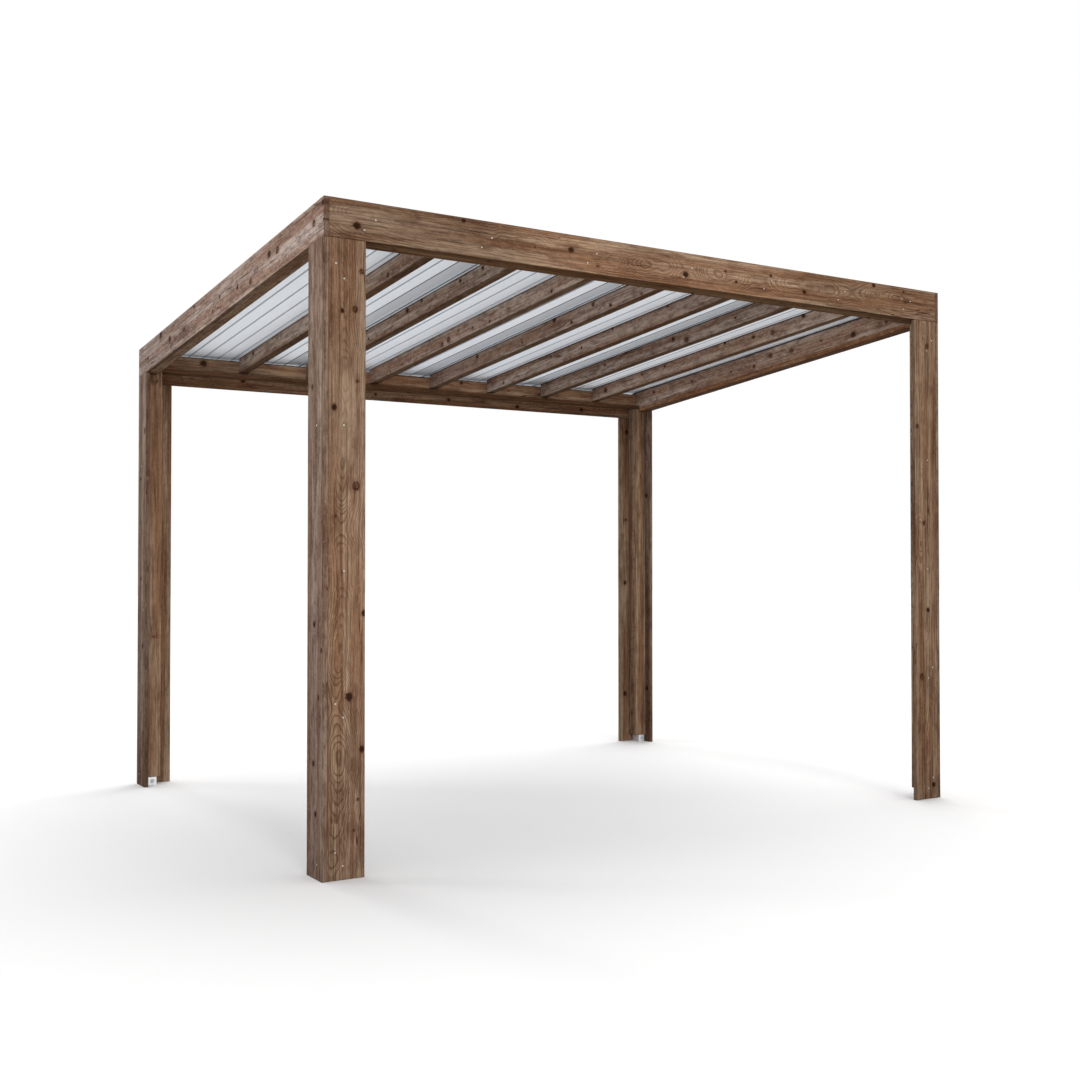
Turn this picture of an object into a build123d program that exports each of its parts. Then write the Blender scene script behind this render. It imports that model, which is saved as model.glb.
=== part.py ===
from build123d import *
import math
import os

os.makedirs("parts", exist_ok=True)

# Lean-to roof on four posts, millimetres, +Z up.
# Origin at the outer ground corner of the left front post while building,
# X to the right along the front, Y to the back. Everything is moved at the end
# so that the origin is the middle of the footprint at ground level.

# overall sizes
width = 3197.0
depth = 2457.0
front_top = 2450.0
roof_drop = 214.0

# timber sections
board = 20.0
board_wide = 145.0
core = 75.0
joist = 45.0
plate_tall = 45.0
plate_deep = 85.0
back_plate_tall = board
rafter_thick = 45.0
rafter_tall = 80.0

# roof slope, falling to the back
fall = roof_drop / depth
lean = math.degrees(math.atan(fall))
side_under = front_top - board_wide / math.cos(math.radians(lean))

# heights of the level members and of the sloping rafters at Y = 0
front_fascia_under = front_top - board_wide
front_plate_under = front_fascia_under
rafter_over_plate = 3.3
rafter_under = front_plate_under + plate_tall + rafter_over_plate
roof_base = rafter_under + rafter_tall / math.cos(math.radians(lean))
plate_back_y = depth - board - core
rafter_over_back_plate = 11.5
back_plate_top = rafter_under - fall * plate_back_y - rafter_over_back_plate
back_plate_under = back_plate_top - back_plate_tall
back_fascia_below_plate = 55.0
back_fascia_under = back_plate_under - back_fascia_below_plate
header_gap = 2.0
header_front_top = roof_base - fall * (board + joist) - header_gap
header_over_fascia = 3.5
header_back_top = back_fascia_under + board_wide + header_over_fascia

# seven rafters, evenly spaced between the first and the last
rafter_count = 7
rafter_first = 512.0
rafter_last_from_right = 408.0
rafter_step = (width - rafter_first - rafter_last_from_right) / (rafter_count - 1)

# steel shoes under the post cores
shoe_side = 32.0
shoe_front = 98.0
shoe_deep = 68.0
shoe_width = 42.0
shoe_tall = 42.0
shoe_wall = 3.0

# roof sheets
sheet_thick = 1.0
sheet_edge_gap = 2.0
sheet_front = board + sheet_edge_gap
sheet_over = 20.0
rib_first = 30.0
rib_last_from_right = 45.0
rib_wide = 76.0
rib_wall = 4.0
rib_tall = 5.0
lap_gap = 0.3
lap_short = 5.0
swage_pitch = 76.15
swage_wide = 10.0
swage_top = 4.0
swage_tall = 3.0
joints = 3
rib_pitch = (width - rib_first - rib_last_from_right - rib_wide) / (joints + 1)


def box(x0, x1, y0, y1, z0, z1):
    made = Box(x1 - x0, y1 - y0, z1 - z0, align=(Align.MIN, Align.MIN, Align.MIN))
    return Pos(x0, y0, z0) * made


def sloped(x0, x1, y0, y1, under, top):
    # board standing between x0 and x1 with edges that follow the roof
    with BuildPart() as made:
        with BuildSketch(Plane.YZ.offset(x0)):
            with BuildLine():
                Polyline(
                    (y0, under - fall * y0),
                    (y1, under - fall * y1),
                    (y1, top - fall * y1),
                    (y0, top - fall * y0),
                    close=True,
                )
            make_face()
        extrude(amount=x1 - x0)
    return made.part


def upright(x0, x1, y0, y1, z0):
    # upright that ends against the sloping underside of the side fascia
    with BuildPart() as made:
        with BuildSketch(Plane.YZ.offset(x0)):
            with BuildLine():
                Polyline(
                    (y0, z0),
                    (y1, z0),
                    (y1, side_under - fall * y1),
                    (y0, side_under - fall * y0),
                    close=True,
                )
            make_face()
        extrude(amount=x1 - x0)
    return made.part


def shoe(y0):
    # folded steel shoe, open below
    x0 = shoe_side
    outer = box(x0, x0 + shoe_width, y0, y0 + shoe_deep, 0, shoe_tall)
    inner = box(
        x0 + shoe_wall,
        x0 + shoe_width - shoe_wall,
        y0 + shoe_wall,
        y0 + shoe_deep - shoe_wall,
        -1,
        shoe_tall - shoe_wall,
    )
    return outer - inner


def flip(shape):
    # the right side is the left side mirrored about the middle of the width
    return Pos(width, 0, 0) * mirror(shape, about=Plane.YZ)


parts = {}

# posts: a square core clad on its two outer faces, standing on a shoe
post_parts = {}
core_front = upright(board, board + joist, board, board + core, shoe_tall)
core_front = core_front + box(
    board + joist, board + core, board, board + core, shoe_tall, front_plate_under
)
core_back = upright(board, board + joist, plate_back_y, depth - board, shoe_tall)
core_back = core_back + box(
    board + joist,
    board + core,
    plate_back_y,
    depth - board,
    shoe_tall,
    back_plate_under,
)
post_parts["post_core_f"] = core_front
post_parts["post_core_b"] = core_back
post_parts["post_side_board_f"] = upright(0, board, 0, board_wide, 0)
post_parts["post_side_board_b"] = upright(0, board, depth - board_wide, depth, 0)
post_parts["post_face_board_f"] = box(
    board, board + board_wide, 0, board, 0, front_fascia_under
)
post_parts["post_face_board_b"] = box(
    board, board + board_wide, depth - board, depth, 0, back_fascia_under
)
post_parts["post_shoe_f"] = shoe(shoe_front - shoe_deep)
post_parts["post_shoe_b"] = shoe(depth - shoe_front)
for name, shape in post_parts.items():
    parts[name + "l"] = shape
    parts[name + "r"] = flip(shape)

# fascia boards around the roof
parts["fascia_front"] = box(
    board, width - board, 0, board, front_fascia_under, front_top
)
parts["fascia_back"] = box(
    board,
    width - board,
    depth - board,
    depth,
    back_fascia_under,
    back_fascia_under + board_wide,
)
side = sloped(0, board, 0, depth, side_under, front_top)
parts["fascia_left"] = side
parts["fascia_right"] = flip(side)

# joists behind the side fascias
side_joist = sloped(
    board, board + joist, board, depth - board, side_under, roof_base
)
parts["side_joist_left"] = side_joist
parts["side_joist_right"] = flip(side_joist)

# plates that carry the rafters, and the headers standing on them
in_left = board + joist
in_right = width - board - joist
plate_front = box(
    in_left,
    in_right,
    board,
    board + plate_deep,
    front_plate_under,
    front_plate_under + plate_tall,
)
plate_back = box(
    in_left,
    in_right,
    plate_back_y,
    depth - board,
    back_plate_under,
    back_plate_top,
)
parts["wall_plate_front"] = plate_front
parts["wall_plate_back"] = plate_back
parts["header_front"] = box(
    in_left,
    in_right,
    board,
    board + joist,
    front_plate_under + plate_tall,
    header_front_top,
)
parts["header_back"] = box(
    in_left,
    in_right,
    depth - board - joist,
    depth - board,
    back_plate_top,
    header_back_top,
)

# rafters between the headers, with a level seat cut over the front plate
for number in range(rafter_count):
    left = rafter_first + number * rafter_step
    rafter = sloped(
        left, left + rafter_thick, in_left, depth - in_left, rafter_under, roof_base
    )
    parts["rafter_" + str(number + 1)] = rafter - plate_front


def rib_left(index):
    return rib_first + index * rib_pitch


def swages(points, start, stop):
    # shallow pressed lines across one pan, from its left edge to its right edge
    count = round((stop - start) / swage_pitch)
    for step in range(1, count):
        middle = start + step * (stop - start) / count
        points.append((middle - swage_wide / 2, 0))
        points.append((middle - swage_top / 2, swage_tall))
        points.append((middle + swage_top / 2, swage_tall))
        points.append((middle + swage_wide / 2, 0))


def sheet(index):
    # centre points of the underside, x across and height above the rafters
    points = []
    if index == 0:
        points.append((board + sheet_edge_gap, 0))
        left = rib_left(0)
        points.append((left, 0))
        points.append((left + rib_wall, rib_tall))
        points.append((left + rib_wide - rib_wall, rib_tall))
        points.append((left + rib_wide, 0))
    else:
        left = rib_left(index)
        lift = rib_tall + sheet_thick + lap_gap
        points.append((left + rib_wall + lap_short, lift))
        points.append((left + rib_wide - rib_wall + 1.2, lift))
        points.append((left + rib_wide + 1.4, 0))
    swages(points, rib_left(index) + rib_wide, rib_left(index + 1))
    right = rib_left(index + 1)
    points.append((right, 0))
    points.append((right + rib_wall, rib_tall))
    if index < joints:
        points.append((right + rib_wide - rib_wall - lap_short, rib_tall))
    else:
        points.append((right + rib_wide - rib_wall, rib_tall))
        points.append((right + rib_wide, 0))
        points.append((width - board - sheet_edge_gap, 0))
    return points


def thicken(points):
    # offset the open outline upwards by the sheet thickness
    normals = []
    for a, b in zip(points, points[1:]):
        length = math.hypot(b[0] - a[0], b[1] - a[1])
        normals.append((-(b[1] - a[1]) / length, (b[0] - a[0]) / length))
    upper = []
    for i, point in enumerate(points):
        if i == 0:
            nx, ny = normals[0]
            scale = sheet_thick
        elif i == len(points) - 1:
            nx, ny = normals[-1]
            scale = sheet_thick
        else:
            nx = normals[i - 1][0] + normals[i][0]
            ny = normals[i - 1][1] + normals[i][1]
            size = math.hypot(nx, ny)
            nx, ny = nx / size, ny / size
            cosine = nx * normals[i][0] + ny * normals[i][1]
            scale = sheet_thick / cosine
        upper.append((point[0] + nx * scale, point[1] + ny * scale))
    return points + upper[::-1]


slope = math.radians(lean)
sheet_end = depth + sheet_over
sheet_long = (sheet_end - sheet_front) / math.cos(slope)
beyond = box(0, width, sheet_end, sheet_end + 50, 0, front_top)
start = (0, sheet_front, roof_base - fall * sheet_front)
across = Plane(
    origin=start, x_dir=(1, 0, 0), z_dir=(0, -math.cos(slope), math.sin(slope))
)
for index in range(joints + 1):
    outline = Polyline(*thicken(sheet(index)), close=True)
    face = across * make_face(outline)
    parts["roof_sheet_" + str(index + 1)] = extrude(face, amount=-sheet_long) - beyond

# origin to the middle of the whole outline at ground level
shift = Pos(-width / 2, -sheet_end / 2, 0)
for name, shape in parts.items():
    export_step(shift * shape, "parts/" + name + ".step")
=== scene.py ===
import math
import random
from collections import namedtuple

import bmesh
import bpy
from mathutils import Euler, Matrix, Vector


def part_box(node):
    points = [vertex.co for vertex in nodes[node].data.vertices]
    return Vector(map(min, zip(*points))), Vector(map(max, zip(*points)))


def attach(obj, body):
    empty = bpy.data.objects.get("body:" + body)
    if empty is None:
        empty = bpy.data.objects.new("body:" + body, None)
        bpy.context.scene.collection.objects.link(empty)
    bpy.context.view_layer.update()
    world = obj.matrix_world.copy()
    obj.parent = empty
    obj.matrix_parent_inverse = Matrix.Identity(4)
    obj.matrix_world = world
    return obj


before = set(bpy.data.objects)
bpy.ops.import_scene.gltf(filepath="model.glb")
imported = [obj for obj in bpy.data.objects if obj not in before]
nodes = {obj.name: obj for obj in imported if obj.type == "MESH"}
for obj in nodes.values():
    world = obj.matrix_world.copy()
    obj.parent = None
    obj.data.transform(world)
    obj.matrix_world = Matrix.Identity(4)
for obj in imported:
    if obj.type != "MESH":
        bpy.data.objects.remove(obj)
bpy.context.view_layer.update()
scene = bpy.context.scene
scene.view_settings.view_transform = "Standard"

# the outline of the frame, read off the fascias
side_lo, side_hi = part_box("fascia_left")
front_lo, front_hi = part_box("fascia_front")
back_lo, back_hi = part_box("fascia_back")
LEFT = side_lo.x
RIGHT = -LEFT
FRONT = side_lo.y
BACK = side_hi.y
BOARD = front_hi.y - front_lo.y
BOARD_WIDE = front_hi.z - front_lo.z
LENGTH = BACK - FRONT
# the side fascia's own height, taken along the slope, sets how much the roof falls
# (its upright height is its width over the cosine of the lean)
OVER_COSINE = 1.0038
ROOF_FALL = (side_hi.z - side_lo.z - BOARD_WIDE * OVER_COSINE) / LENGTH
ROOF_LEAN = math.atan(ROOF_FALL)

# camera: fitted to the straight edges of the picture
CAMERA_PLACE = (-3.4009, -5.5881, 1.1347)
CAMERA_YAW = 31.961
CAMERA_PITCH = 1.001
CAMERA_LENS = 43.484


def make_camera():
    data = bpy.data.cameras.new("camera")
    data.lens = CAMERA_LENS
    data.sensor_width = 36.0
    data.clip_end = 200
    camera = bpy.data.objects.new("camera", data)
    camera.location = CAMERA_PLACE
    camera.rotation_euler = Euler(
        (math.radians(90 + CAMERA_PITCH), 0, math.radians(-CAMERA_YAW))
    )
    scene.collection.objects.link(camera)
    scene.camera = camera


class Graph:
    """A small helper that adds and joins shader nodes."""

    def __init__(self, name=None, tree=None):
        if tree is None:
            self.material = bpy.data.materials.new(name)
            self.material.use_nodes = True
            tree = self.material.node_tree
        self.tree = tree
        self.tree.nodes.clear()

    def add(self, kind, **settings):
        node = self.tree.nodes.new(kind)
        for key, value in settings.items():
            setattr(node, key, value)
        return node

    def put(self, socket, value):
        if hasattr(value, "is_output"):
            self.tree.links.new(value, socket)
        else:
            socket.default_value = value

    def math(self, operation, a, b=0.0, c=0.0, clamp=False):
        node = self.add("ShaderNodeMath", operation=operation, use_clamp=clamp)
        for socket, value in zip(node.inputs, (a, b, c)):
            self.put(socket, value)
        return node.outputs[0]

    def scale(self, value, factor, offset=0.0):
        return self.math("MULTIPLY_ADD", value, factor, offset)

    def fade(self, value, low, high, start=0.0, end=1.0):
        """start below low, end above high, and a soft step between them"""
        node = self.add("ShaderNodeMapRange", interpolation_type="SMOOTHSTEP")
        for socket, number in zip(node.inputs, (value, low, high, start, end)):
            self.put(socket, number)
        return node.outputs[0]

    def vector(self, operation, a, b=(0, 0, 0)):
        node = self.add("ShaderNodeVectorMath", operation=operation)
        self.put(node.inputs[0], a)
        self.put(node.inputs[1], b)
        return node.outputs["Value" if operation == "LENGTH" else "Vector"]

    def combine(self, x, y, z):
        node = self.add("ShaderNodeCombineXYZ")
        for socket, value in zip(node.inputs, (x, y, z)):
            self.put(socket, value)
        return node.outputs[0]

    def split(self, value):
        node = self.add("ShaderNodeSeparateXYZ")
        self.put(node.inputs[0], value)
        return node.outputs

    def noise(self, place, stretch, detail=2.0, rough=0.5, seed=0.0):
        node = self.add("ShaderNodeTexNoise", noise_dimensions="4D")
        self.put(node.inputs["Vector"], self.vector("MULTIPLY", place, stretch))
        node.inputs["Scale"].default_value = 1.0
        node.inputs["Detail"].default_value = detail
        node.inputs["Roughness"].default_value = rough
        node.inputs["W"].default_value = seed
        return node.outputs["Fac"]

    def mix(self, amount, a, b, blend="MIX"):
        node = self.add("ShaderNodeMix", data_type="RGBA", blend_type=blend)
        self.put(node.inputs["Factor"], amount)
        for name, value in (("A", a), ("B", b)):
            socket = next(s for s in node.inputs if s.name == name and s.type == "RGBA")
            if isinstance(value, tuple) and len(value) == 3:
                value = (*value, 1)
            self.put(socket, value)
        return next(s for s in node.outputs if s.type == "RGBA")

    def multiply(self, *values):
        product = values[0]
        for value in values[1:]:
            product = self.math("MULTIPLY", product, value)
        return product

    def apart(self, value, middle):
        """how far the value is from the middle, to either side"""
        return self.math("ABSOLUTE", self.math("SUBTRACT", value, middle))

    def bump(self, shader, height, strength, distance):
        node = self.add("ShaderNodeBump")
        node.inputs["Strength"].default_value = strength
        node.inputs["Distance"].default_value = distance
        self.put(node.inputs["Height"], height)
        self.put(shader.inputs["Normal"], node.outputs[0])

    def finish(self, shader, kind="ShaderNodeOutputMaterial"):
        output = self.add(kind)
        self.put(output.inputs["Surface"], shader.outputs[0])

    def seen(self):
        """1 for rays that reach the eye, straight or by a mirror or through glass"""
        path = self.add("ShaderNodeLightPath")
        seen = self.math(
            "MAXIMUM", path.outputs["Is Camera Ray"], path.outputs["Is Glossy Ray"]
        )
        return self.math("MAXIMUM", seen, path.outputs["Is Transmission Ray"])


# wood colours, from the pale sapwood to the black heart of a knot, whose black also paints
# the shadow in the gap under the sheets
PALE = (0.466, 0.342, 0.238)
EARLY = (0.293, 0.167, 0.098)
LATE = (0.062, 0.029, 0.016)
STAIN = (0.128, 0.060, 0.035)
KNOT_RIM = (0.050, 0.020, 0.010)
KNOT_AND_GAP_SHADOW = (0.006, 0.004, 0.003)

# a board's look: its tint, how much pale rubbed fibre it shows, and how strongly its growth
# rings stand out. The tint also paints the colour of the light: cooler and greyer on the
# side boards and the rafters
LOOKS = {
    "plain": ((1.0, 1.0, 1.0), 0.30, 0.70),
    "weathered_cool_lit": ((0.84, 0.88, 0.98), 0.50, 0.30),
    "bleached_cool_lit": ((1.16, 1.29, 1.56), 0.60, 0.40),
    "rafter": ((1.18, 1.28, 1.48), 0.60, 0.30),
    "inside": ((1.05, 0.99, 0.94), 0.25, 0.60),
    "fresh": ((1.50, 1.46, 1.42), 0.25, 0.50),
}
# painted shade: the undersides of the boards are darker and olive
UNDERSIDE_SHADE = (0.67, 0.62, 0.51)
# painted warm light on a strip along the foot of a side joist
STRIP_WARM_LIGHT = (0.86, 0.66, 0.46)
STRIP_TALL = 0.022

# layers of grain: how often they change in a metre along, across and through the
# board, their detail and roughness, and a shift of the board's seed
GRAIN = {
    "wobble": ((3, 17, 17), 2.0, 0.5, 5),
    "strong": ((2.2, 11, 11), 1.0, 0.5, 8),
    "fibre": ((10, 250, 250), 3.0, 0.65, 11),
    "streak": ((2.6, 120, 120), 3.0, 0.6, 17),
    "band": ((1.0, 26, 26), 2.0, 0.5, 23),
    "ragged": ((120, 190, 60), 4.0, 0.7, 29),
    "stain": ((4.6, 19, 19), 4.0, 0.65, 31),
    "worn": ((62, 120, 120), 3.0, 0.7, 37),
    "blotch": ((17, 44, 44), 4.0, 0.7, 43),
    "check": ((1.5, 36, 36), 2.0, 0.5, 47),
    "check_gate": ((2.6, 20, 20), 1.0, 0.5, 53),
}
PIN_KNOT_SEED = 41
PIN_KNOT_CELLS = (4.5, 8.0, 2.0)
RINGS_IN_A_METRE = 165.0
# the listed knot sizes include part of the dark rim
KNOT_SCALE = 0.82
# how far the rings bend round a knot and the stain reaches, in knot radii
KNOT_PUSH = 1.2
KNOT_HALO = 2.8
# depth and strength of the dark lines along the arrises and at the cut ends
WIDE_ARRIS = (0.0040, 0.62)
UPRIGHT_ARRIS = (0.0040, 0.35)
THICK_ARRIS = (0.0020, 0.35)
CUT_END = (0.0032, 0.78)
# half the length over which a board's gain of tone and painted light changes
TONE_REACH = 0.16

Board = namedtuple(
    "Board",
    "name centre rotation seed knots wide thick long end_axis turn look pith tones strip",
)


def board_place(g, board):
    """Where a point lies from the middle of its board: along the world's axes, and
    turned so that X runs along the board, Y across it and Z through it."""
    coordinates = g.add("ShaderNodeTexCoord").outputs["Object"]
    moved = g.vector("SUBTRACT", coordinates, tuple(board.centre))
    turned = g.add("ShaderNodeVectorRotate", rotation_type="EULER_XYZ", invert=True)
    g.put(turned.inputs["Vector"], moved)
    turned.inputs["Rotation"].default_value = board.rotation
    return moved, turned.outputs[0]


def grain(g, board, place, layer):
    stretch, detail, rough, shift = GRAIN[layer]
    return g.noise(place, stretch, detail, rough, board.seed + shift)


def knot_field(g, board, place):
    """How far the knots push the rings aside, and the distance from the nearest knot
    in knot radii."""
    push = g.scale(grain(g, board, place, "wobble"), 0.014, -0.007)
    nearest = None
    for along, across, radius, black in board.knots:
        radius *= KNOT_SCALE
        away = g.vector("SUBTRACT", place, (along, across, 0.0))
        core = g.vector("MULTIPLY", away, (0.85 / radius, 1.0 / radius, 0.2 / radius))
        ratio = g.vector("LENGTH", core)
        flow = g.vector("MULTIPLY", away, (0.36 / radius, 1.0 / radius, 0.2 / radius))
        reach = g.vector("LENGTH", flow)
        fall_off = g.scale(g.multiply(reach, reach), 0.42, 1.0)
        push = g.math("ADD", push, g.math("DIVIDE", radius * KNOT_PUSH, fall_off))
        if not black:
            # a brown knot is dark only round its rim and at its heart
            middle = g.multiply(
                g.fade(ratio, 0.15, 0.45), g.fade(ratio, 0.65, 0.95, 1.0, 0.0)
            )
            ratio = g.math("ADD", g.math("MAXIMUM", ratio, 0.98), g.scale(middle, 0.20))
        nearest = ratio if nearest is None else g.math("MINIMUM", nearest, ratio)
    return push, nearest


def ring_lines(g, board, place, push):
    """Growth rings, each with a soft pale side and a thin dark late-wood line."""
    along, wide, thick = g.split(place)
    # the pith drifts along the board, which gives the pointed arches
    seed = board.seed
    drift = g.combine(along, random.Random(seed).uniform(0, 9), 0.0)
    drift_wide = g.scale(g.noise(drift, (1.7, 1, 1), 1.0, 0.4, seed), 0.10, -0.05)
    drift_thick = g.noise(drift, (3.4, 1, 1), 2.0, 0.5, seed + 3.7)
    drift_thick = g.scale(drift_thick, 0.13, -0.065)
    off_wide = g.math("ADD", g.math("SUBTRACT", wide, board.pith[0]), drift_wide)
    off_thick = g.math("ADD", g.math("SUBTRACT", thick, board.pith[1]), drift_thick)
    squares = g.math("ADD", g.math("POWER", off_wide, 2.0), g.math("POWER", off_thick, 2.0))
    radius = g.math("ADD", g.math("SQRT", squares), push)

    uneven = g.noise(g.combine(radius, seed, 0.0), (24, 1, 1), 1.0)
    rings = g.math("ADD", g.multiply(radius, RINGS_IN_A_METRE), g.scale(uneven, 3.0))
    saw = g.math("FRACT", rings)
    line = g.multiply(g.fade(saw, 0.50, 0.90), g.fade(saw, 0.90, 1.0, 1.0, 0.0))
    strong = g.fade(grain(g, board, place, "strong"), 0.38, 0.66, 0.25, 1.0)
    return g.multiply(line, strong)


def grain_colour(g, board, place, line, fibre):
    """Broad bands and stains, then rings, streaks, fibres and rubbed spots."""
    rough, ring_strength = board.look[1:]

    def layer(name, low, high, at_low, at_high):
        return g.fade(grain(g, board, place, name), low, high, at_low, at_high)

    colour = g.mix(layer("band", 0.38, 0.62, 0.0, 1.0), EARLY, PALE)
    colour = g.mix(layer("stain", 0.47, 0.70, 0.0, 0.72), colour, STAIN)
    colour = g.mix(g.multiply(line, ring_strength), colour, LATE)
    streaks = 0.30 + 0.48 * ring_strength
    colour = g.mix(layer("streak", 0.35, 0.53, streaks, 0.0), colour, LATE)
    colour = g.mix(g.fade(fibre, 0.38, 0.56, 0.46, 0.0), colour, LATE)
    colour = g.mix(layer("worn", 0.52, 0.70, 0.0, rough), colour, PALE)
    colour = g.mix(layer("blotch", 0.36, 0.54, rough * 0.95, 0.0), colour, LATE)

    # drying checks: thin dark lines that wander along the board
    beside = g.apart(grain(g, board, place, "check"), 0.5)
    gate = layer("check_gate", 0.52, 0.60, 0.0, 1.0)
    return g.mix(g.multiply(g.fade(beside, 0.003, 0.012, 0.9, 0.0), gate), colour, KNOT_RIM)


def knot_colour(g, board, place, nearest, colour):
    dots = g.add("ShaderNodeTexVoronoi", voronoi_dimensions="4D")
    g.put(dots.inputs["Vector"], g.vector("MULTIPLY", place, PIN_KNOT_CELLS))
    dots.inputs["Scale"].default_value = 1.0
    dots.inputs["W"].default_value = board.seed + PIN_KNOT_SEED
    pins = g.fade(dots.outputs["Distance"], 0.012, 0.034, 0.75, 0.0)
    colour = g.mix(pins, colour, KNOT_RIM)
    # a stain round each knot, its ragged brown rim and its black core
    ratio = g.math(
        "ADD", nearest, g.scale(grain(g, board, place, "ragged"), 2.0, -1.0)
    )
    colour = g.mix(g.fade(ratio, 0.9, KNOT_HALO, 0.55, 0.0), colour, STAIN)
    colour = g.mix(g.fade(ratio, 1.05, 1.55, 0.92, 0.0), colour, KNOT_RIM)
    return g.mix(g.fade(ratio, 0.88, 1.10, 1.0, 0.0), colour, KNOT_AND_GAP_SHADOW)


def edge_colour(g, board, moved, place, colour):
    """Rubbed arrises, dark end grain, and painted shadow, shade and light along single
    edges.
    """
    along, wide, thick = g.split(place)
    # sloping boards are cut upright, so their ends follow the world's axis
    ends = g.split(moved)["xyz".index(board.end_axis)]
    upright = board.turn.startswith("upright")
    for axis, size, (depth, amount) in (
        (wide, board.wide, UPRIGHT_ARRIS if upright else WIDE_ARRIS),
        (thick, board.thick, THICK_ARRIS),
        (ends, board.long, CUT_END),
    ):
        edge = g.math("SUBTRACT", size / 2, g.math("ABSOLUTE", axis))
        colour = g.mix(g.fade(edge, 0.0, depth, amount, 0.0), colour, LATE)
    # the tint of the look, which also paints cooler light on the side boards and rafters
    colour = g.mix(1.0, colour, board.look[0], "MULTIPLY")
    # gains of tone and painted light and shade along the board
    for where, before, after in board.tones:
        gain = g.fade(along, where - TONE_REACH, where + TONE_REACH, before, after)
        colour = g.mix(1.0, colour, g.combine(gain, gain, gain), "MULTIPLY")
    if board.name.startswith(("rafter", "side_joist", "header")):
        # painted shadow: the top edge goes dark in the narrow gap under the sheets
        top = g.math("SUBTRACT", board.wide / 2, wide)
        colour = g.mix(g.fade(top, 0.0030, 0.0085, 0.90, 0.0), colour, KNOT_AND_GAP_SHADOW)
    if upright:
        return colour
    low = g.math("ADD", wide, board.wide / 2)
    if board.strip:
        # painted warm light on the strip along the foot, with a dark line along its top
        inside = g.fade(low, board.strip - 0.001, board.strip + 0.001, 1.0, 0.0)
        inside = g.multiply(inside, g.fade(low, 0.0006, 0.0016))
        strip = g.mix(1.0, colour, STRIP_WARM_LIGHT, "MULTIPLY")
        colour = g.mix(inside, colour, strip)
        groove = g.apart(low, board.strip)
        colour = g.mix(g.fade(groove, 0.0006, 0.0022, 0.7, 0.0), colour, KNOT_RIM)
    if board.turn == "flat":
        low = g.math("ADD", thick, board.thick / 2)
    # painted shade on the underside of the board
    underside_shade = g.mix(1.0, colour, UNDERSIDE_SHADE, "MULTIPLY")
    return g.mix(g.fade(low, 0.0004, 0.0014, 1.0, 0.0), colour, underside_shade)


def wood_material(board):
    g = Graph("wood_" + board.name)
    moved, place = board_place(g, board)
    push, nearest = knot_field(g, board, place)
    line = ring_lines(g, board, place, push)
    fibre = grain(g, board, place, "fibre")
    colour = grain_colour(g, board, place, line, fibre)
    colour = knot_colour(g, board, place, nearest, colour)
    colour = edge_colour(g, board, moved, place, colour)
    shader = g.add("ShaderNodeBsdfPrincipled")
    g.put(shader.inputs["Base Color"], colour)
    g.put(shader.inputs["Roughness"], g.scale(fibre, 0.20, 0.72))
    shader.inputs["Specular IOR Level"].default_value = 0.01
    height = g.math("ADD", g.scale(line, -0.5), g.scale(fibre, 0.5))
    g.bump(shader, height, 0.4, 0.0008)
    g.finish(shader)
    return g.material


# the lapped ribs and pressed lines of the sheets repeat across the roof
RIB_FIRST = LEFT + 0.030
RIB_PITCH = 0.7615
LAP_WIDE = 0.084
LINE_PITCH = 0.07617
# the sheets lap on every rib but the first and the last
FIRST_LAP_AFTER = 0.4
LAST_LAP_BEFORE = 2.9

# two shades each of the pale back coat and the grey weather coat, the painted shade over
# the laps and in the pressed lines, and the tones of the joints and the fine grain of the
# coat
BACK_COAT = ((0.84, 0.875, 0.915), (0.90, 0.93, 0.96))
WEATHER_COAT = ((0.25, 0.265, 0.28), (0.30, 0.315, 0.33))
LAP_SHADE = (0.30, 0.33, 0.36)
LINE_SHADE = (0.28, 0.32, 0.38)
JOINT_TONE = (0.06, 0.07, 0.085)
COAT_GRAIN = (0.5, 0.53, 0.57)


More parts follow.
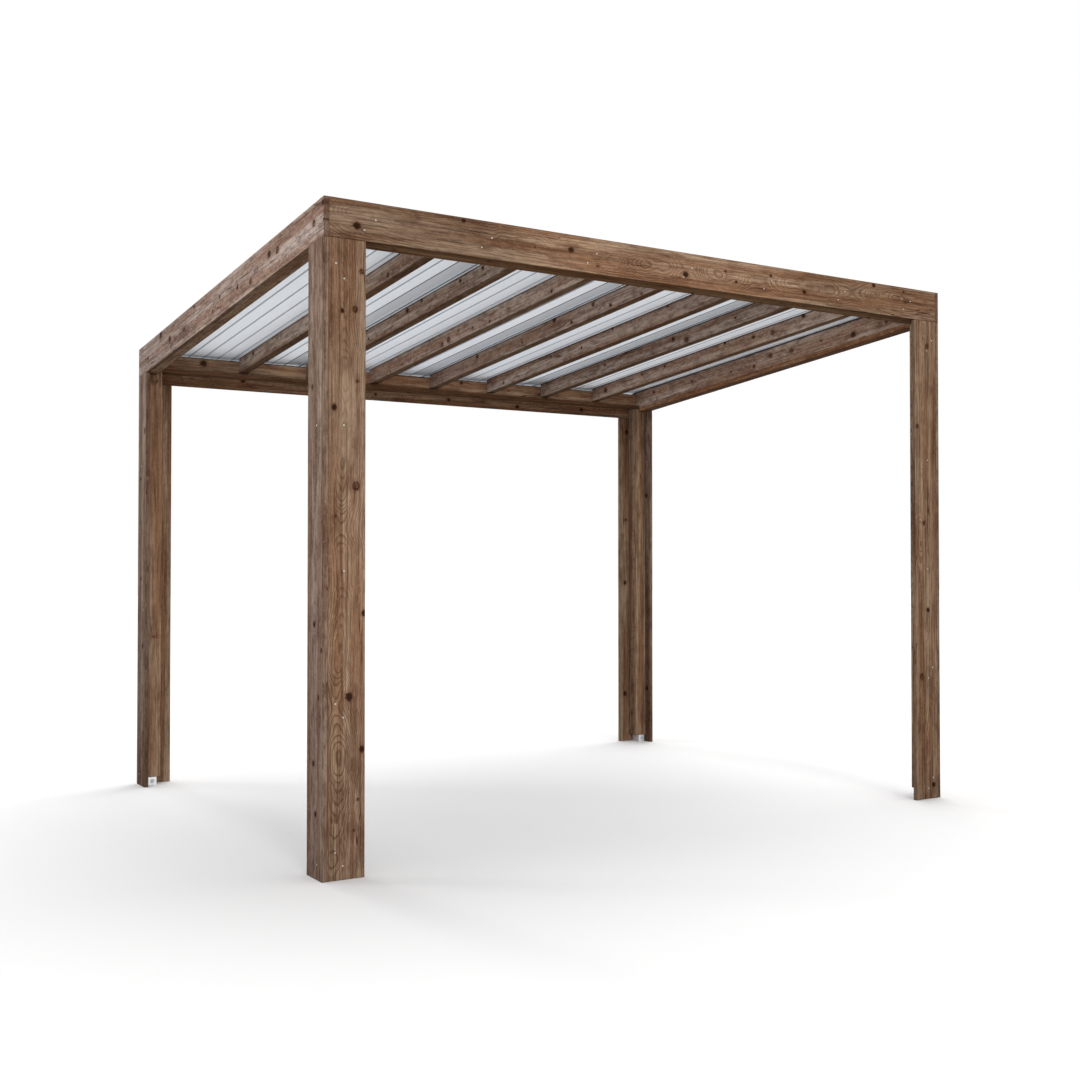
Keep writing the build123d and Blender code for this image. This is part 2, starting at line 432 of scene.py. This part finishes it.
def sheet_material():
    g = Graph("coated_steel")
    place = g.add("ShaderNodeTexCoord").outputs["Object"]
    across = g.split(place)[0]
    cloud = g.noise(place, (2.2, 0.8, 1), 3.0, 0.55, 2.0)
    shade = g.fade(cloud, 0.3, 0.7)
    colour = g.mix(shade, *BACK_COAT)
    # painted shade across the lap, in the hollow of the rib
    from_rib = g.math("SUBTRACT", across, RIB_FIRST)
    turn = g.math("FRACT", g.math("DIVIDE", from_rib, RIB_PITCH))
    run_in = g.multiply(turn, RIB_PITCH)
    lapped = g.multiply(
        g.fade(from_rib, FIRST_LAP_AFTER, FIRST_LAP_AFTER + 0.01),
        g.fade(from_rib, LAST_LAP_BEFORE, LAST_LAP_BEFORE + 0.01, 1.0, 0.0),
    )
    lap_shade_mask = g.multiply(g.fade(run_in, LAP_WIDE - 0.002, LAP_WIDE + 0.001, 1.0, 0.0), lapped)
    colour = g.mix(g.multiply(lap_shade_mask, 0.36), colour, LAP_SHADE)
    # painted shade in the pressed lines
    step = g.math("FRACT", g.scale(run_in, 1 / LINE_PITCH, 0.5))
    beside = g.multiply(g.apart(step, 0.5), LINE_PITCH)
    crease = g.fade(beside, 0.0030, 0.0068, 0.66, 0.0)
    plain = g.fade(run_in, LAP_WIDE, LAP_WIDE + 0.004, 0.0, 1.0)
    colour = g.mix(g.multiply(crease, plain), colour, LINE_SHADE)
    # dark joints along both edges of a lap
    for edge in (LAP_WIDE + 0.001, RIB_PITCH - 0.003):
        joint = g.fade(g.apart(run_in, edge), 0.0026, 0.0052, 0.9, 0.0)
        colour = g.mix(g.multiply(joint, lapped), colour, JOINT_TONE)
    # the weather side has a grey coat
    facing = g.split(g.add("ShaderNodeNewGeometry").outputs["True Normal"])[2]
    colour = g.mix(g.fade(facing, 0.0, 0.3), colour, g.mix(shade, *WEATHER_COAT))
    fine = g.noise(place, (260, 30, 260), 2.0, 0.6, 4.0)
    colour = g.mix(g.fade(fine, 0.45, 0.75, 0.0, 0.16), colour, COAT_GRAIN)
    shader = g.add("ShaderNodeBsdfPrincipled")
    g.put(shader.inputs["Base Color"], colour)
    shader.inputs["Metallic"].default_value = 0.9
    g.put(shader.inputs["Roughness"], g.scale(cloud, 0.14, 0.82))
    g.bump(shader, fine, 0.12, 0.0005)
    g.finish(shader)
    return g.material


SPANGLES_IN_A_METRE = 160.0


def zinc_material(name, light, dark, roughness):
    g = Graph(name)
    place = g.add("ShaderNodeTexCoord").outputs["Object"]
    cells = g.add("ShaderNodeTexVoronoi")
    g.put(cells.inputs["Vector"], place)
    cells.inputs["Scale"].default_value = SPANGLES_IN_A_METRE
    spangle = g.split(cells.outputs["Color"])[0]
    patina = g.noise(place, (30, 30, 30), 3.0, 0.6, 5.0)
    colour = g.mix(g.scale(spangle, 0.6), light, dark)
    colour = g.mix(g.fade(patina, 0.5, 0.75, 0.0, 0.4), colour, dark)
    shader = g.add("ShaderNodeBsdfPrincipled")
    g.put(shader.inputs["Base Color"], colour)
    shader.inputs["Metallic"].default_value = 0.75
    g.put(shader.inputs["Roughness"], g.scale(patina, 0.2, roughness))
    g.finish(shader)
    return g.material


# how each kind of board is turned: where its length, width and thickness point
run = Vector((0, math.cos(ROOF_LEAN), -math.sin(ROOF_LEAN)))
rise = Vector((0, math.sin(ROOF_LEAN), math.cos(ROOF_LEAN)))
TURNS = {
    "upright_face": (Vector((0, 0, 1)), Vector((1, 0, 0)), Vector((0, 1, 0))),
    "upright_side": (Vector((0, 0, 1)), Vector((0, 1, 0)), Vector((-1, 0, 0))),
    "across": (Vector((1, 0, 0)), Vector((0, 0, 1)), Vector((0, -1, 0))),
    "flat": (Vector((1, 0, 0)), Vector((0, 1, 0)), Vector((0, 0, 1))),
    "sloping": (run, rise, Vector((1, 0, 0))),
}
# the world's axis along which the cut ends lie, where it isn't upright
END_AXES = {"sloping": "y", "across": "x", "flat": "x"}
# how a name starts, then the turn, the look, and the real width and thickness
KINDS = (
    ("post_side", "upright_side", "weathered_cool_lit", BOARD_WIDE, BOARD),
    ("post_core", "upright_side", "fresh", 0.075, 0.075),
    ("post_face", "upright_face", "plain", BOARD_WIDE, BOARD),
    ("fascia_front", "across", "plain", BOARD_WIDE, BOARD),
    ("fascia_back", "across", "inside", BOARD_WIDE, BOARD),
    ("header", "across", "fresh", 0.0753, 0.045),
    ("wall_plate_front", "flat", "inside", 0.085, 0.045),
    ("wall_plate_back", "flat", "inside", 0.075, BOARD),
    ("side_joist", "sloping", "rafter", 0.128, 0.045),
    ("rafter", "sloping", "rafter", 0.080, 0.045),
    ("fascia", "sloping", "bleached_cool_lit", BOARD_WIDE, BOARD),
)

# knots that the picture shows: how far along and across from the board's middle,
# the radius, and 1 where the knot is black
KNOTS = {
    "post_face_board_fl": (
        (1.04, 0.055, 0.008, 0), (0.89, -0.02, 0.008, 1), (0.90, 0.03, 0.010, 0),
        (0.54, -0.05, 0.010, 1), (0.64, 0.04, 0.006, 0), (0.26, 0.035, 0.014, 0),
        (0.15, -0.045, 0.005, 0), (-0.20, 0.067, 0.009, 1), (-0.50, 0.01, 0.014, 1),
        (-0.69, 0.06, 0.010, 1), (-0.87, 0.045, 0.005, 0), (-0.98, 0.03, 0.005, 0),
    ),
    "post_side_board_fl": (
        (-0.24, 0.005, 0.009, 1), (-0.33, -0.06, 0.007, 1), (-0.74, 0.01, 0.009, 1),
        (-0.50, -0.035, 0.008, 0), (-0.92, -0.01, 0.009, 1), (0.62, 0.03, 0.008, 0),
    ),
    "fascia_front": (
        (-1.47, -0.02, 0.013, 1), (-1.03, 0.06, 0.008, 1), (-0.71, 0.0, 0.005, 0),
        (-0.54, 0.01, 0.012, 1), (-0.41, -0.04, 0.006, 0), (0.04, -0.02, 0.012, 1),
        (0.26, 0.02, 0.006, 0), (0.32, -0.02, 0.006, 1), (0.52, 0.03, 0.006, 1),
        (0.72, -0.02, 0.010, 1), (1.16, 0.06, 0.009, 1), (1.36, 0.05, 0.006, 0),
    ),
    "fascia_left": (
        (-1.229, 0.050, 0.011, 1), (-1.229, -0.012, 0.005, 1), (-1.14, 0.0, 0.012, 0),
        (-0.77, 0.01, 0.014, 0), (-0.68, 0.02, 0.014, 1), (-0.46, -0.03, 0.012, 0),
        (-0.30, -0.01, 0.010, 1), (-0.07, 0.01, 0.009, 0), (0.03, -0.03, 0.008, 0),
        (0.29, 0.06, 0.009, 1), (0.45, -0.01, 0.010, 1), (0.68, 0.0, 0.014, 1),
        (0.83, 0.055, 0.015, 1), (1.06, -0.01, 0.010, 0),
    ),
    "fascia_back": (
        (-1.05, -0.02, 0.010, 1), (-0.74, 0.0, 0.012, 1), (-0.27, -0.04, 0.007, 1),
        (0.20, -0.04, 0.009, 1), (0.67, -0.05, 0.010, 1), (1.14, -0.04, 0.010, 1),
    ),
    "header_back": (
        (-1.28, 0.01, 0.015, 1), (0.26, 0.02, 0.010, 1), (0.8, -0.01, 0.007, 0),
    ),
    "side_joist_right": (
        (-0.96, 0.0, 0.009, 0), (-0.73, -0.01, 0.016, 1), (-0.50, 0.01, 0.008, 0),
        (-0.27, 0.01, 0.012, 0), (-0.10, 0.02, 0.012, 0), (0.04, -0.01, 0.010, 1),
        (0.24, 0.0, 0.008, 0), (0.60, 0.02, 0.009, 0), (0.98, 0.03, 0.009, 1),
    ),
    "rafter_1": ((-0.68, -0.02, 0.010, 0), (0.95, 0.02, 0.011, 1)),
    "rafter_2": (
        (-0.81, 0.02, 0.010, 1), (-0.61, 0.02, 0.009, 1), (-0.24, 0.03, 0.009, 0),
        (-0.09, 0.02, 0.012, 1), (0.35, -0.01, 0.008, 0),
    ),
    "rafter_3": (
        (-0.75, -0.02, 0.008, 1), (-0.20, -0.02, 0.008, 1), (-0.03, -0.01, 0.007, 1),
        (0.11, 0.01, 0.007, 1), (0.22, -0.01, 0.014, 0), (0.29, -0.02, 0.012, 0),
        (0.75, -0.02, 0.007, 1), (0.90, -0.03, 0.007, 1),
    ),
    "rafter_4": (
        (-0.90, -0.03, 0.006, 1), (-0.66, -0.02, 0.009, 1), (-0.52, 0.02, 0.010, 0),
        (-0.33, -0.02, 0.009, 1), (-0.18, 0.03, 0.014, 1), (0.13, -0.01, 0.007, 1),
        (0.60, 0.02, 0.011, 1), (0.72, -0.01, 0.006, 0),
    ),
    "rafter_5": (
        (-0.60, 0.03, 0.007, 1), (-0.14, 0.03, 0.008, 0), (0.15, 0.0, 0.007, 1),
        (0.45, 0.02, 0.008, 0), (0.97, -0.02, 0.008, 1),
    ),
    "rafter_6": (
        (-0.65, 0.0, 0.007, 1), (-0.26, -0.02, 0.014, 0), (-0.15, 0.01, 0.012, 1),
        (0.48, 0.01, 0.008, 0),
    ),
    "rafter_7": (
        (-0.73, 0.03, 0.011, 1), (-0.50, 0.0, 0.012, 0), (-0.35, 0.01, 0.010, 1),
        (-0.12, 0.03, 0.008, 1), (0.42, 0.02, 0.008, 0), (0.64, 0.02, 0.009, 1),
        (1.02, 0.0, 0.014, 1),
    ),
}
# where the pith lies, for a board whose arches show
PITHS = {"post_face_board_fl": (-0.030, -0.055)}
# boards that are paler or darker over part of their length: where along the board the
# change is, and how bright it is before and after. The gains paint light and shade as well
# as each board's tone, such as the lift on the rafters and side joists and the darkening of
# the back post cores
TONE_AND_LIGHT_GAINS = {
    "fascia_front": ((-0.80, 0.84, 1.26), (0.72, 1.0, 0.78)),
    "fascia_left": ((0.34, 1.09, 0.82),),
    "post_face_board_fl": ((-0.45, 1.02, 1.12), (0.35, 1.0, 0.84)),
    "post_face_board_fr": ((0.0, 0.90, 0.93),),
    "post_side_board_bl": ((0.0, 0.82, 0.86),),
    "post_face_board_bl": ((0.0, 1.12, 1.12),),
    "post_core_bl": ((0.0, 0.84, 0.84),),
    "post_core_br": ((0.0, 0.74, 0.72),),
    "rafter_3": ((0.0, 1.18, 1.24),),
    "rafter_4": ((0.0, 1.15, 1.12),),
    "rafter_5": ((0.0, 1.12, 1.12),),
    "rafter_6": ((0.0, 1.08, 1.08),),
    "rafter_7": ((0.0, 1.38, 1.28),),
    "side_joist_left": ((0.0, 1.35, 1.35),),
    "side_joist_right": ((0.0, 1.46, 1.34),),
    "header_back": ((-0.9, 0.80, 1.30), (0.5, 1.0, 0.84)),
}


def timber_kind(name):
    """The first row of KINDS that fits the name."""
    return next(kind for kind in KINDS if name.startswith(kind[0]))


def made_up_knots(rng, long, wide):
    """Knots for a board that the picture doesn't show from its face."""
    count = max(2, round(long * 2.4))
    return [
        (
            (index + rng.uniform(0.15, 0.85)) / count * long - long / 2,
            rng.uniform(-0.42, 0.42) * wide,
            rng.uniform(0.006, 0.013) * min(1.0, wide / 0.1),
            rng.random() < 0.6,
        )
        for index in range(count)
    ]


ARRIS = 0.0018
WELD_WITHIN = 0.00002


def soften(mesh_object):
    """Planed boards have a small rounded arris."""
    weld = mesh_object.modifiers.new("weld", "WELD")
    weld.merge_threshold = WELD_WITHIN
    bevel = mesh_object.modifiers.new("arris", "BEVEL")
    bevel.width = ARRIS
    bevel.segments = 2
    bevel.limit_method = "ANGLE"
    bevel.angle_limit = math.radians(40)
    bevel.harden_normals = True


def paint(name, material):
    mesh = nodes[name].data
    mesh.materials.clear()
    mesh.materials.append(material)


def make_timber():
    for index, name in enumerate(sorted(nodes)):
        if name.startswith(("roof_sheet", "post_shoe")):
            continue
        start, turn, look, wide, thick = timber_kind(name)
        lo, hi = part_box(name)
        size = hi - lo
        longest = max(size.x, size.y, size.z)
        rng = random.Random(100 + index)
        knots = KNOTS.get(name) or made_up_knots(rng, longest, wide)
        pith = PITHS.get(name) or (rng.uniform(-0.04, 0.04), rng.uniform(-0.07, -0.03))
        end_axis = END_AXES.get(turn, "z")
        board = Board(
            name=name,
            centre=(lo + hi) / 2,
            rotation=Matrix(TURNS[turn]).transposed().to_euler(),
            seed=index * 7.3 + 1,
            knots=knots,
            wide=wide,
            thick=thick,
            long=size["xyz".index(end_axis)],
            end_axis=end_axis,
            turn=turn,
            look=LOOKS[look],
            pith=pith,
            tones=TONE_AND_LIGHT_GAINS.get(name, ()),
            strip=STRIP_TALL if start == "side_joist" else None,
        )
        paint(name, wood_material(board))
        soften(nodes[name])


def make_metal():
    steel = sheet_material()
    zinc = zinc_material("zinc", (0.86, 0.87, 0.88), (0.58, 0.60, 0.62), 0.30)
    for name in nodes:
        if name.startswith("roof_sheet"):
            paint(name, steel)
        if name.startswith("post_shoe"):
            paint(name, zinc)


def ring(bm, radii, height, segments):
    """Points round the axis, which take their radii from the list in turn."""
    corners = []
    for i in range(segments):
        radius = radii[i % len(radii)]
        angle = 2 * math.pi * i / segments
        corner = (radius * math.cos(angle), radius * math.sin(angle), height)
        corners.append(bm.verts.new(corner))
    return corners


def bridge(bm, low, high):
    """A band of faces between two rings."""
    count = len(low)
    for i in range(count):
        j = (i + 1) % count
        bm.faces.new((low[i], low[j], high[j], high[i]))


def lathe(bm, profile, segments):
    """Closed turned shape from (radii, height) rings, low to high."""
    rings = [ring(bm, radii, height, segments) for radii, height in profile]
    bm.faces.new(rings[0][::-1])
    for low, high in zip(rings, rings[1:]):
        bridge(bm, low, high)
    bm.faces.new(rings[-1])


def screw_head():
    """Countersunk head with a cross recess, 6 mm across."""
    bm = bmesh.new()
    arms = [0.0015 if i % 4 in (0, 1) else 0.0006 for i in range(16)]
    deep = [value * 0.55 for value in arms]
    lathe(
        bm,
        [
            ([0.0015], -0.0024),
            ([0.0030], -0.0004),
            ([0.0031], 0.0001),
            ([0.0027], 0.0003),
            ([0.0019], 0.0004),
            (arms, 0.0004),
            (deep, -0.0010),
        ],
        16,
    )
    return bm


def bolt_head():
    """Washer with a hexagon bolt head on it."""
    bm = bmesh.new()
    hexagon = [0.0072, 0.0066, 0.00624, 0.0066]
    shoulder = [value * 0.90 for value in hexagon]
    lathe(
        bm,
        [
            ([0.0098], 0.0),
            ([0.0102], 0.0004),
            ([0.0102], 0.0014),
            ([0.0098], 0.0018),
            (hexagon, 0.0018),
            (hexagon, 0.0058),
            (shoulder, 0.0066),
            ([0.0030], 0.0067),
        ],
        24,
    )
    return bm


def roofing_screw():
    """Hexagon head with a flange on a rubber-backed washer."""
    bm = bmesh.new()
    hexagon = [0.0046, 0.0042, 0.0040, 0.0042]
    lathe(
        bm,
        [
            ([0.0072], 0.0),
            ([0.0080], 0.0006),
            ([0.0076], 0.0018),
            ([0.0060], 0.0024),
            ([0.0058], 0.0030),
            (hexagon, 0.0030),
            (hexagon, 0.0070),
            ([0.0034], 0.0074),
        ],
        24,
    )
    return bm


def scatter(name, maker, spots, material):
    """One mesh with a copy of the small part at every (place, way it points)."""
    whole = bmesh.new()
    rng = random.Random(name)
    for place, way in spots:
        piece = maker()
        turn = Vector(way).to_track_quat("Z", "Y").to_matrix().to_4x4()
        spin = Matrix.Rotation(rng.uniform(0, math.pi), 4, "Z")
        piece.transform(Matrix.Translation(place) @ turn @ spin)
        mesh = bpy.data.meshes.new("piece")
        piece.to_mesh(mesh)
        whole.from_mesh(mesh)
        bpy.data.meshes.remove(mesh)
        piece.free()
    mesh = bpy.data.meshes.new(name)
    whole.to_mesh(mesh)
    whole.free()
    mesh.materials.append(material)
    scattered = bpy.data.objects.new(name, mesh)
    scene.collection.objects.link(scattered)
    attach(scattered, "root")


# heights of the screws up a post, and how far each stands in from the corner
POST_SCREWS = (
    (2.212, 0.048),
    (2.16, 0.080),
    (1.63, 0.080),
    (1.105, 0.082),
    (0.63, 0.050),
    (0.58, 0.080),
    (0.10, 0.050),
    (0.05, 0.080),
)
SIDE_SCREWS = ((1.63, 0.060), (0.055, 0.048))
# pairs along the fascias, from the middle: across, and the two screws of a pair
PAIRS = (-1.44, -0.95, -0.46, 0.03, 0.48, 0.93, 1.36)
PAIR = ((0.0, -0.032), (0.045, 0.010))
# half the height of a shoe
BOLT_HEIGHT = 0.021
# each rafter has a row of roofing screws from front to back
ROOF_SCREWS = 5
ROOF_SCREW_FIRST = 0.12
ROOF_SCREW_SPAN = LENGTH - 0.2
RAFTERS = 7
SHEET_THICK = 0.0011


def make_fasteners():
    bright = zinc_material("screw_zinc", (0.62, 0.61, 0.58), (0.42, 0.41, 0.39), 0.45)
    spots = []
    for side in (-1, 1):
        for height, inward in POST_SCREWS:
            x = side * (RIGHT - inward)
            spots.append(((x, FRONT, height), (0, -1, 0)))
            if height < back_lo.z - 0.03:
                spots.append(((x, BACK, height), (0, 1, 0)))
        for height, inward in SIDE_SCREWS:
            spots.append(((side * RIGHT, FRONT + inward, height), (side, 0, 0)))
            spots.append(((side * RIGHT, BACK - inward, height), (side, 0, 0)))
    scatter("post_screws", screw_head, spots, bright)

    spots = []
    front_middle = (front_lo.z + front_hi.z) / 2
    back_middle = (back_lo.z + back_hi.z) / 2
    for x in PAIRS:
        for shift, up in PAIR:
            spots.append(((x + shift, FRONT, front_middle + up), (0, -1, 0)))
            spots.append(((x + shift, BACK, back_middle + up), (0, 1, 0)))
    scatter("fascia_screws", screw_head, spots, bright)

    spots = []
    for name in ("fl", "fr", "bl", "br"):
        lo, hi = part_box("post_shoe_" + name)
        # the bolt is on the side that faces into the pergola
        y, way = (lo.y, -1) if name.startswith("b") else (hi.y, 1)
        spots.append((((lo.x + hi.x) / 2, y, BOLT_HEIGHT), (0, way, 0)))
    steel = zinc_material("bolt_zinc", (0.55, 0.56, 0.57), (0.30, 0.31, 0.33), 0.35)
    scatter("shoe_bolts", bolt_head, spots, steel)


def make_roofing_screws():
    """Down through the sheets into every rafter."""
    grey = zinc_material("roofing_zinc", (0.45, 0.46, 0.48), (0.33, 0.34, 0.36), 0.3)
    lo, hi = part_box("rafter_1")
    base = hi.z + ROOF_FALL * lo.y
    lift = SHEET_THICK / math.cos(ROOF_LEAN)
    spots = []
    for number in range(1, RAFTERS + 1):
        lo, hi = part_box("rafter_" + str(number))
        x = (lo.x + hi.x) / 2
        for step in range(ROOF_SCREWS):
            y = FRONT + ROOF_SCREW_FIRST + step * ROOF_SCREW_SPAN / (ROOF_SCREWS - 1)
            spots.append(((x, y, base - ROOF_FALL * y + lift), tuple(rise)))
    scatter("roofing_screws", roofing_screw, spots, grey)


# the floor as the eye sees it: white paper that keeps the soft shadow
FLOOR_SIZE = 80
PAPER = (0.775, 0.77, 0.765, 1)
# the light that the timber gets from the floor: dim and brown under the roof, bright
# and cool on the left, warmer in front
BOUNCE_UNDER = (0.11, 0.08, 0.05)
BOUNCE_BACK = (0.55, 0.60, 0.85)
BOUNCE_RIGHT = (0.36, 0.37, 0.28)
BOUNCE_FRONT = (0.72, 0.62, 0.55)
BOUNCE_LEFT = ((1.20, 1.28, 1.36), (2.35, 2.50, 2.65))
# metres from the middle over which the floor changes
UNDER_ROOF = (1.5, 2.7)
LEFT_REACH = (2.4, 5.5)
# the outline is wider than deep, so distances across count for less
ACROSS_SHARE = 0.8

# the sky's colour low down and half way up, each plain, in front and on the left,
# and its colour overhead
SKY_LOW = ((0.90, 0.90, 0.92), (1.25, 1.19, 1.11), (0.70, 0.72, 0.85))
SKY_MIDDLE = ((0.82, 0.83, 0.85), (1.12, 1.10, 1.04), (0.58, 0.60, 0.66))
SKY_TOP = (0.96, 0.96, 0.97)
# name, the way to the lamp, strength, and how wide it is in degrees
LAMPS = (
    ("front_lamp", (-0.17, -0.96, 0.22), 1.0, 13),
    ("back_lamp", (-0.09, 0.97, 0.23), 1.1, 16),
    ("back_left_lamp", (-0.74, 0.61, 0.28), 0.6, 14),
    ("high_lamp", (0.42, 0.34, 0.84), 1.40, 45),
)


def make_floor():
    bpy.ops.mesh.primitive_plane_add(size=FLOOR_SIZE)
    floor = bpy.context.object
    floor.name = "floor"
    g = Graph("floor")
    g.material.cycles.emission_sampling = "NONE"
    paper = g.add("ShaderNodeBsdfDiffuse")
    paper.inputs["Color"].default_value = PAPER
    x, y, z = g.split(g.add("ShaderNodeNewGeometry").outputs["Position"])
    flat = g.combine(g.multiply(x, ACROSS_SHARE), y, 0.0)
    distance = g.math("MAXIMUM", g.vector("LENGTH", flat), 0.1)
    across, ahead = g.math("DIVIDE", x, distance), g.math("DIVIDE", y, distance)
    far = g.mix(g.fade(across, -0.2, 0.6), BOUNCE_BACK, BOUNCE_RIGHT)
    far = g.mix(g.fade(ahead, -0.85, -0.25, 1.0, 0.0), far, BOUNCE_FRONT)
    left = g.mix(g.fade(distance, *LEFT_REACH), *BOUNCE_LEFT)
    far = g.mix(g.fade(across, -1.05, -0.65, 1.0, 0.0), far, left)
    bounce = g.add("ShaderNodeEmission")
    colour = g.mix(g.fade(distance, *UNDER_ROOF), BOUNCE_UNDER, far)
    g.put(bounce.inputs["Color"], colour)
    bounce.inputs["Strength"].default_value = 1.0
    pick = g.add("ShaderNodeMixShader")
    g.put(pick.inputs[0], g.seen())
    g.put(pick.inputs[1], bounce.outputs[0])
    g.put(pick.inputs[2], paper.outputs[0])
    g.finish(pick)
    floor.data.materials.append(g.material)


def make_sky():
    world = bpy.data.worlds.new("world")
    scene.world = world
    world.use_nodes = True
    g = Graph(tree=world.node_tree)
    x, y, z = g.split(g.add("ShaderNodeTexCoord").outputs["Generated"])
    level = g.math("MAXIMUM", g.vector("LENGTH", g.combine(x, y, 0.0)), 0.05)
    across, ahead = g.math("DIVIDE", x, level), g.math("DIVIDE", y, level)
    to_front = g.fade(ahead, -0.85, -0.25, 1.0, 0.0)
    to_left = g.fade(across, -0.95, -0.55, 1.0, 0.0)
    low, middle = (
        g.mix(to_left, g.mix(to_front, plain, front), left)
        for plain, front, left in (SKY_LOW, SKY_MIDDLE)
    )
    sky = g.mix(g.fade(z, 0.12, 0.40), low, middle)
    sky = g.mix(g.fade(z, 0.60, 0.85), sky, SKY_TOP)
    # the eye sees plain white behind the pergola
    background = g.add("ShaderNodeBackground")
    g.put(background.inputs["Color"], g.mix(g.seen(), sky, (1.0, 1.0, 1.0)))
    background.inputs["Strength"].default_value = 1.0
    g.finish(background, "ShaderNodeOutputWorld")


def make_lamps():
    for name, way, strength, spread in LAMPS:
        lamp = bpy.data.lights.new(name, "SUN")
        lamp.energy = strength
        lamp.angle = math.radians(spread)
        lamp_object = bpy.data.objects.new(name, lamp)
        lamp_object.rotation_euler = Vector(way).to_track_quat("Z", "Y").to_euler()
        scene.collection.objects.link(lamp_object)


make_camera()
make_timber()
make_metal()
make_fasteners()
make_roofing_screws()
make_floor()
make_sky()
make_lamps()
